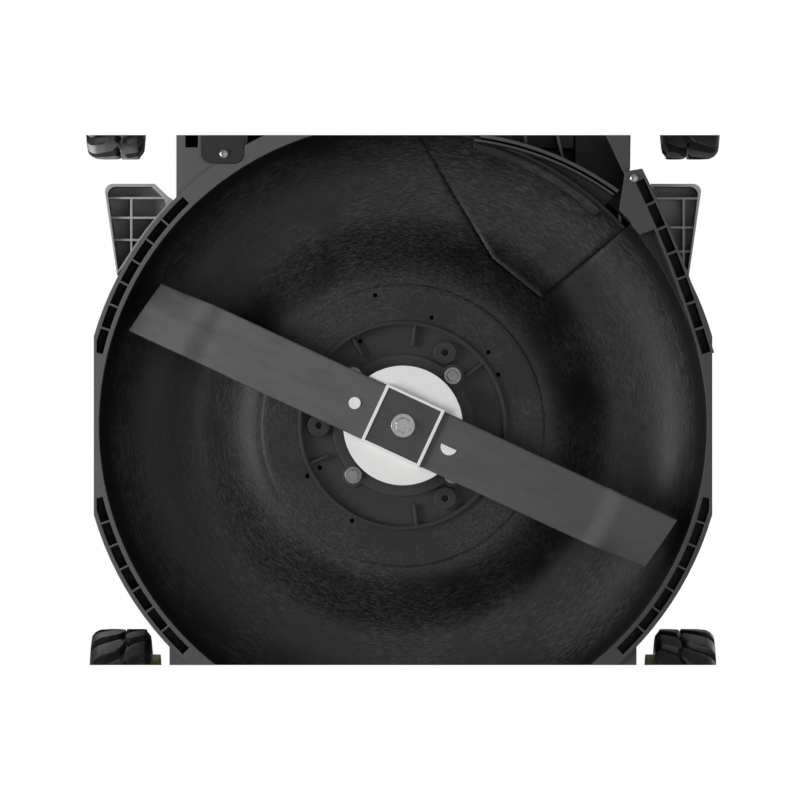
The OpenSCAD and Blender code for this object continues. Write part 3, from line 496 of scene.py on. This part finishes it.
def set_finishes():
    """Gives every node of the model its finish."""
    deck = mower_deck_black()
    cover_tones = (0.014, 0.0142, 0.0150), (0.021, 0.0212, 0.0222)
    cover = moulded_cover("textured_cover", *cover_tones)
    # Painted light: the fender tones are raised far paler than the other black mouldings to make up for the
    # shade the fenders sit in.
    fender_painted_light_tones = (0.165, 0.1655, 0.167), (0.205, 0.2055, 0.207)
    fender = moulded_cover("fender_moulding", *fender_painted_light_tones, 520.0, 0.50, 0.55)
    lime = moulded_cover("lime_moulding", (0.245, 0.365, 0.012), (0.300, 0.430, 0.020), 760.0, 0.36)
    battery = moulded_cover("battery_shell", (0.026, 0.0265, 0.028), (0.036, 0.0365, 0.038), 820.0, 0.44)
    steel, bright = plated_steel(), plated_steel("bright_bolt_steel", 0.46, 0.24, 0.3)
    tube, rubber = coated_tube(), tyre_rubber()
    wearing = {
        deck: ["deck", "mulch_plug"],
        moulded_cover("shroud_cover", *cover_tones, broad=True): ["shroud"],
        cover: ["cowl", "controller", "rear_door", "fold_knob_left", "fold_knob_right", "clamp_collars",
                "switch_box", "battery_bay", "rear_cover"] + ["hubcap_" + w for w in WHEELS],
        fender: ["fender_left", "fender_right"],
        lime: ["battery_lid", "battery_latch", "safety_key", "lever_knob", "cam_left", "cam_right",
               "start_button"] + ["rim_" + w for w in WHEELS],
        battery: ["battery"],
        white_nylon(): ["insulator"],
        powder_coated_blade(): ["blade"],
        plated_steel("phosphated_plate", 0.10, 0.48, 0.6): ["clamp_plate"],
        steel: ["door_pin", "door_springs", "shaft", "bracket_left", "bracket_right", "axle_clamps",
                "detent_plate", "rear_axle", "front_axle", "height_lever", "tie_rod"],
        plated_steel("dull_bolt_steel", 0.30, 0.30, 0.4): ["motor_bolts"],
        bright: ["deck_screws", "blade_bolt", "rear_nuts", "front_nuts"],
        cast_metal("motor_casting", 0.40, 0.85): ["motor_can"],
        cast_metal("flange_casting", 0.045, 0.15): ["motor_flange"],
        flap_rubber(): ["trailing_shield"],
        grip_foam(): ["foam_grip"],
        tube: ["lower_handle", "upper_handle", "bail_lever"],
        rubber: ["tyre_" + w for w in WHEELS],
    }
    named = {}
    for material, nodes in wearing.items():
        for node in nodes:
            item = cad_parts[node]
            item.data.materials.clear()
            item.data.materials.append(material)
            item.data.polygons.foreach_set("material_index", np.zeros(len(item.data.polygons), np.int32))
            named[node] = material
    return named


# ---- Pieces worked out as surfaces ----


def grid_faces(rows, columns, close_rows=True, close_columns=True, first=0):
    """Quads of a grid of points, row by row, closed round either way where asked."""
    r = np.arange(rows if close_rows else rows - 1)[:, None]
    c = np.arange(columns if close_columns else columns - 1)[None, :]
    below, beside = (r + 1) % rows, (c + 1) % columns
    quads = [r * columns + c, r * columns + beside, below * columns + beside, below * columns + c]
    return np.stack(np.broadcast_arrays(*quads), -1).reshape(-1, 4) + first


def make_piece(name, points, faces, body, stands_for, material, crease=38.0):
    """Puts points and faces in a mesh, faces outwards, and lets it stand for CAD nodes on their body."""
    p = points[faces]
    volume = np.einsum("ij,ij->i", p[:, 0], np.cross(p[:, 1] - p[:, 0], p[:, 2] - p[:, 0]))
    volume = volume + np.einsum("ij,ij->i", p[:, 0], np.cross(p[:, 2] - p[:, 0], p[:, 3] - p[:, 0]))
    if volume.sum() < 0:
        faces = faces[:, ::-1]
    mesh = bpy.data.meshes.new(name)
    mesh.from_pydata(points.tolist(), [], faces.tolist())
    mesh.shade_smooth()
    mesh.set_sharp_from_angle(angle=math.radians(crease))
    mesh.materials.append(material)
    piece = bpy.data.objects.new(name, mesh)
    bpy.context.scene.collection.objects.link(piece)
    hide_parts(*stands_for)
    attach(piece, body)
    return piece


def resample(corners, count):
    """Points evenly spaced along a closed outline given by its corners."""
    loop = np.vstack([corners, corners[:1]])
    reach = np.concatenate([[0.0], np.cumsum(np.linalg.norm(np.diff(loop, axis=0), axis=1))])
    at = np.linspace(0.0, reach[-1], count, endpoint=False)
    return np.stack([np.interp(at, reach, loop[:, i]) for i in range(2)], -1)


def smooth(value, low, high):
    """0 below low, 1 above high, smooth between."""
    t = np.clip((value - low) / (high - low), 0.0, 1.0)
    return t * t * (3.0 - 2.0 * t)


def tyre(wheel, material):
    """A closed section turned about the axle, running up one wall, over the crown and down the other.
    Where the section is on the crown its radius drops by the groove depth, except on lugs: a lug is where
    the wave cos(lugs x angle + slant x distance from the middle + half a turn on the other side) is high.
    A wavy groove runs round the middle and a raised ring round each wall. A smooth step sets the wall that
    faces the deck 8 mm nearer the middle, which leaves the rim's edge bare."""
    side, x, y, z, width = WHEELS[wheel]
    radius = z
    half, seat = width / 2, radius - 0.022
    outline = resample(np.array([
        [seat, 0.004 - half], [seat + 0.003, 0.0022 - half],
        [radius - 0.014, -half], [radius - 0.006, 0.0008 - half],
        [radius - 0.0025, 0.0036 - half], [radius - 0.0005, 0.008 - half], [radius, 0.016 - half],
        [radius, half - 0.016], [radius - 0.0005, half - 0.008], [radius - 0.0025, half - 0.0036],
        [radius - 0.006, half - 0.0008], [radius - 0.014, half],
        [seat + 0.003, half - 0.0022], [seat, half - 0.004],
    ]), 88)
    turns, lugs = 600, 20
    angle = np.linspace(0.0, 2 * np.pi, turns, endpoint=False)[:, None]
    rise, across = outline[None, :, 0], outline[None, :, 1]
    out = np.abs(across) / half
    sided = np.where(across > 0, np.pi, 0.0)
    wave = np.cos(lugs * angle + side * np.sign(across) * 3.4 * out + sided)
    lug = smooth(wave, -0.50, -0.34)
    middle = smooth(np.abs(across - 0.003 * np.cos(lugs * angle)), 0.0016, 0.0030)
    tread = smooth(rise, radius - 0.0125, radius - 0.0085)
    drop = 0.0052 * tread * (1.0 - lug * middle)
    ring = 0.0007 * np.exp(-(((rise - (radius - 0.0175)) / 0.0012) ** 2)) * np.sign(across)
    reach = rise - drop
    inner = 0.0080 * side * smooth(-across * side, half - 0.014, half - 0.003)
    axial = (across + ring + inner) * (1.0 - 0.05 * tread * (1.0 - lug) * smooth(out, 0.8, 1.0))
    reach = np.broadcast_to(reach, (turns, outline.shape[0]))
    axial = np.broadcast_to(axial, reach.shape)
    points = np.stack([side * x + axial, y + reach * np.cos(angle), z + reach * np.sin(angle)], -1)
    faces = grid_faces(turns, outline.shape[0])
    make_piece(
        "tread_" + wheel, points.reshape(-1, 3), faces, "wheel_" + wheel, ["tyre_" + wheel], material,
        50.0,
    )


def tyres(material):
    for wheel in WHEELS:
        tyre(wheel, material)


def blade(material):
    """A flat closed section swept along the blade. The S-bend at 0.193 m is a smooth step that sets the whole
    tip 6.2 mm lower. Past it the side behind the cutting edge rises, as the sail, by a smooth step of the
    distance out times a power of the distance back. The edge in front is ground thin, and the tips are cut
    askew: the reach shrinks evenly from the front to the back."""
    stations, across = 361, 46
    run = np.linspace(-1.0, 1.0, stations)[:, None]
    place = np.sin(np.linspace(-np.pi / 2, np.pi / 2, across))
    spread = np.concatenate([place, place[::-1]])[None, :]
    top = np.concatenate([np.zeros(across), np.ones(across)])[None, :]
    end = np.where(run >= 0.0, 1.0, -1.0)
    back = spread * end
    half_length = 0.2485
    out = np.abs(run) * half_length
    along = run * half_length - end * 0.0042 * back * smooth(np.abs(run), 0.7, 1.0)
    width = 0.0262 - 0.0022 * smooth(out, 0.186, 0.245) * (back > 0)
    thick = 0.0016 * np.sqrt(1.0 - np.abs(spread) ** 36)
    lift = 0.0090 * smooth(out, 0.190, 0.222) * np.clip(back, 0.0, 1.0) ** 1.3
    dip = 0.0062 * smooth(out, 0.182, 0.204)
    ground = 0.0019 * smooth(-back, 0.60, 1.0) * smooth(out, 0.150, 0.158)
    height = BLADE_MIDDLE_Z + np.where(top > 0, thick - ground, -thick) + lift - dip
    side = spread * width
    shape = (stations, 2 * across)
    points = np.stack([np.broadcast_to(v, shape) for v in (
        along * math.cos(BLADE_TURN) - side * math.sin(BLADE_TURN),
        BLADE_Y + along * math.sin(BLADE_TURN) + side * math.cos(BLADE_TURN), height)], -1).reshape(-1, 3)
    i = np.arange(across - 1)
    cap = np.stack([i, i + 1, 2 * across - 2 - i, 2 * across - 1 - i], -1)
    swept = grid_faces(stations, 2 * across, close_rows=False)
    faces = np.vstack([swept, cap[:, ::-1], cap + (stations - 1) * 2 * across])
    make_piece("mowing_blade", points, faces, "cutter", ["blade"], material, 32.0)


def foam_sleeve(material):
    """A sleeve turned about the handle's cross tube: its outside swells by 1.1 mm times a half wave, has
    shallow finger hollows from a second wave, and rolls over to the bore at both ends."""
    bore, ends, half_length = 0.01202, 0.0121, 0.108
    t = np.linspace(-1.0, 1.0, 161)
    hollow = 0.0005 * (0.5 + 0.5 * np.cos(10 * np.pi * t)) * (np.abs(t) < 0.92)
    outer = 0.0158 + 0.0011 * np.cos(t * np.pi / 2) - hollow
    outer = ends + (outer - ends) * (1.0 - np.abs(t) ** 60) ** 0.5
    at = np.concatenate([t, t[::-1]]) * half_length
    radius = np.concatenate([outer, np.full(161, bore)])
    turns = 96
    angle = np.linspace(0.0, 2 * np.pi, turns, endpoint=False)[:, None]
    middle = (
        HANDLE_PIVOT[0] + HANDLE_LENGTH * math.cos(HANDLE_LEAN),
        HANDLE_PIVOT[1] + HANDLE_LENGTH * math.sin(HANDLE_LEAN),
    )
    points = np.stack([np.broadcast_to(at[None, :], (turns, at.size)), middle[0] + radius * np.cos(angle),
                       middle[1] + radius * np.sin(angle)], -1).reshape(-1, 3)
    faces = grid_faces(turns, at.size)
    piece = make_piece("grip_sleeve", points, faces, "upper_frame", ["foam_grip"], material, 60.0)


def coils(material):
    """Two wound springs: a round wire swept along a helix about the door's pin, capped at both ends."""
    around, turns, steps = 14, 11.0, 396
    coil, thread, length = 0.00435, 0.00085, 0.026
    points, faces = [], []
    for start in (-0.100, 0.070):
        t = np.linspace(0.0, 1.0, steps)[:, None]
        turn, wire = 2 * np.pi * turns * t, np.linspace(0.0, 2 * np.pi, around, endpoint=False)[None, :]
        reach = coil + thread * np.cos(wire)
        across = start + 0.001 + length * t + thread * np.sin(wire)
        ring = np.stack([across, DOOR_PIN[0] + reach * np.cos(turn),
                         DOOR_PIN[1] + reach * np.sin(turn)], -1).reshape(-1, 3)
        first = steps * around * len(points)
        i = np.arange(around // 2 - 1)
        cap = np.stack([i, i + 1, around - 2 - i, around - 1 - i], -1)
        faces += [grid_faces(steps, around, close_rows=False) + first, cap[:, ::-1] + first,
                  cap + first + (steps - 1) * around]
        points.append(ring)
    points, faces = np.vstack(points), np.vstack(faces)
    make_piece("door_coils", points, faces, "chassis", ["door_springs"], material)


def pan_screws(material):
    """Pan-head screws, each a profile turned about its own axis: the head's dome is an ellipse, and it sinks
    into a cross socket where the smaller of the two level distances from the axis is under 0.7 mm."""
    places = [(-0.2019, 0.216, 0.0400, -1, 0.0041), (0.1564, 0.2372, 0.0412, -1, 0.0041)]
    places += [(x, y, 0.1722, 1, 0.0050) for x in (-0.126, 0.126) for y in (-0.140, 0.150)]
    points, faces = [], []
    t = np.linspace(0.0, 1.0, 40)
    angle = np.linspace(0.0, 2 * np.pi, 72, endpoint=False)[:, None]
    for x, y, z, up, head in places:
        radius = np.concatenate([head * np.sin(t * np.pi / 2), [head, 0.0024, 0.0024, 0.00001]])
        radius[0] = 0.00001
        rise = np.concatenate([0.0011 + 0.0018 * np.cos(t * np.pi / 2), [0.0, 0.0, -0.0080, -0.0080]])
        across, back = radius * np.cos(angle), radius * np.sin(angle)
        cross = np.minimum(np.abs(across), np.abs(back)) < 0.0007
        sink = 0.0012 * cross * (radius < head * 0.55) * (rise > 0.0011)
        height = z + up * (rise - sink)
        first = angle.size * radius.size * len(points)
        points.append(np.stack([x + up * across, BLADE_Y + y + back, height], -1).reshape(-1, 3))
        faces.append(grid_faces(angle.size, radius.size, close_columns=False, first=first))
    points, faces = np.vstack(points), np.vstack(faces)
    make_piece("pan_heads", points, faces, "chassis", ["deck_screws"], material)


def knob(material):
    """A pear-shaped knob turned about the height lever, its radius the square root of a rounded profile, with
    eighteen shallow flutes where fingers hold it."""
    t = np.linspace(0.0, 1.0, 64)[None, :]
    angle = np.linspace(0.0, 2 * np.pi, 144, endpoint=False)[:, None]
    swell = 0.0100 + 0.0042 * smooth(t, 0.15, 0.80)
    radius = swell * (1.0 - np.abs(2 * t - 1.0) ** 5) ** 0.5 + 0.00002
    fluted = smooth(t, 0.12, 0.3) * smooth(-t, -0.9, -0.75)
    radius = radius - 0.0004 * (0.5 + 0.5 * np.cos(18 * angle)) * fluted
    rise = 0.134 + 0.052 * (0.5 - 0.5 * np.cos(np.pi * t))
    sway = radius * np.cos(angle)
    rise = np.broadcast_to(rise, radius.shape)
    lean_cos, lean_sin = math.cos(LEVER_LEAN), math.sin(LEVER_LEAN)
    points = np.stack([LEVER_X + radius * np.sin(angle), LEVER_PIVOT[0] - rise * lean_sin + sway * lean_cos,
                       LEVER_PIVOT[1] + rise * lean_cos + sway * lean_sin], -1).reshape(-1, 3)
    faces = grid_faces(144, 64, close_columns=False)
    make_piece("height_knob", points, faces, "rear_crank", ["lever_knob"], material)


# ---- The scene ----

camera_place, camera_distance = set_camera()
set_lights()
set_world()

pale = Finish("pale_floor")
mottle = pale.noise(pale.place(), 3.0, 2.0, 0.5)
pale_tone = pale.mix(mottle, (0.80, 0.80, 0.80), (0.84, 0.84, 0.84))
pale.set(Base_Color=pale_tone, Roughness=0.9, Specular_IOR_Level=0.1)
seen_below = pale.tree.nodes.new("ShaderNodeBsdfTransparent")
which_side = pale.tree.nodes.new("ShaderNodeNewGeometry")
either = pale.tree.nodes.new("ShaderNodeMixShader")
floor_x, floor_y = pale.parts(pale.place())[:2]
fade = pale.around(floor_x, floor_y, 0.0)[0].step(1.1, 2.4)
under = Value(pale, which_side.outputs["Backfacing"])
pale.feed(either.inputs[0], fade + under - fade * under)
pale.tree.links.new(pale.shader.outputs[0], either.inputs[1])
pale.tree.links.new(seen_below.outputs[0], either.inputs[2])
pale.tree.links.new(either.outputs[0], pale.tree.nodes["Material Output"].inputs["Surface"])
flat_stage("floor", (-6.0, 6.0), (-6.0, 6.0), 0.0, pale.material)

card = Finish("white_card")
card.set(
    Base_Color=(0.0, 0.0, 0.0), Roughness=1.0, Emission_Color=(1.0, 1.0, 1.0), Emission_Strength=1.0,
    Specular_IOR_Level=0.0,
)
card_scale = (CARD_Z - camera_place.z) / camera_distance
card_top = camera_place.y + (BLADE_Y + BAND_TOP - camera_place.y) * card_scale
card_bottom = camera_place.y + (BLADE_Y + BAND_BOTTOM - camera_place.y) * card_scale
flat_stage("card_rear", (-1.5, 1.5), (card_top, card_top + 2.0), CARD_Z, card.material)
flat_stage("card_front", (-1.5, 1.5), (card_bottom - 2.0, card_bottom), CARD_Z, card.material)

finishes = set_finishes()
tyres(finishes["tyre_front_left"])
blade(finishes["blade"])
foam_sleeve(finishes["foam_grip"])
coils(finishes["door_springs"])
knob(finishes["lever_knob"])
pan_screws(finishes["deck_screws"])

scene = bpy.context.scene
scene.view_settings.view_transform = "Standard"
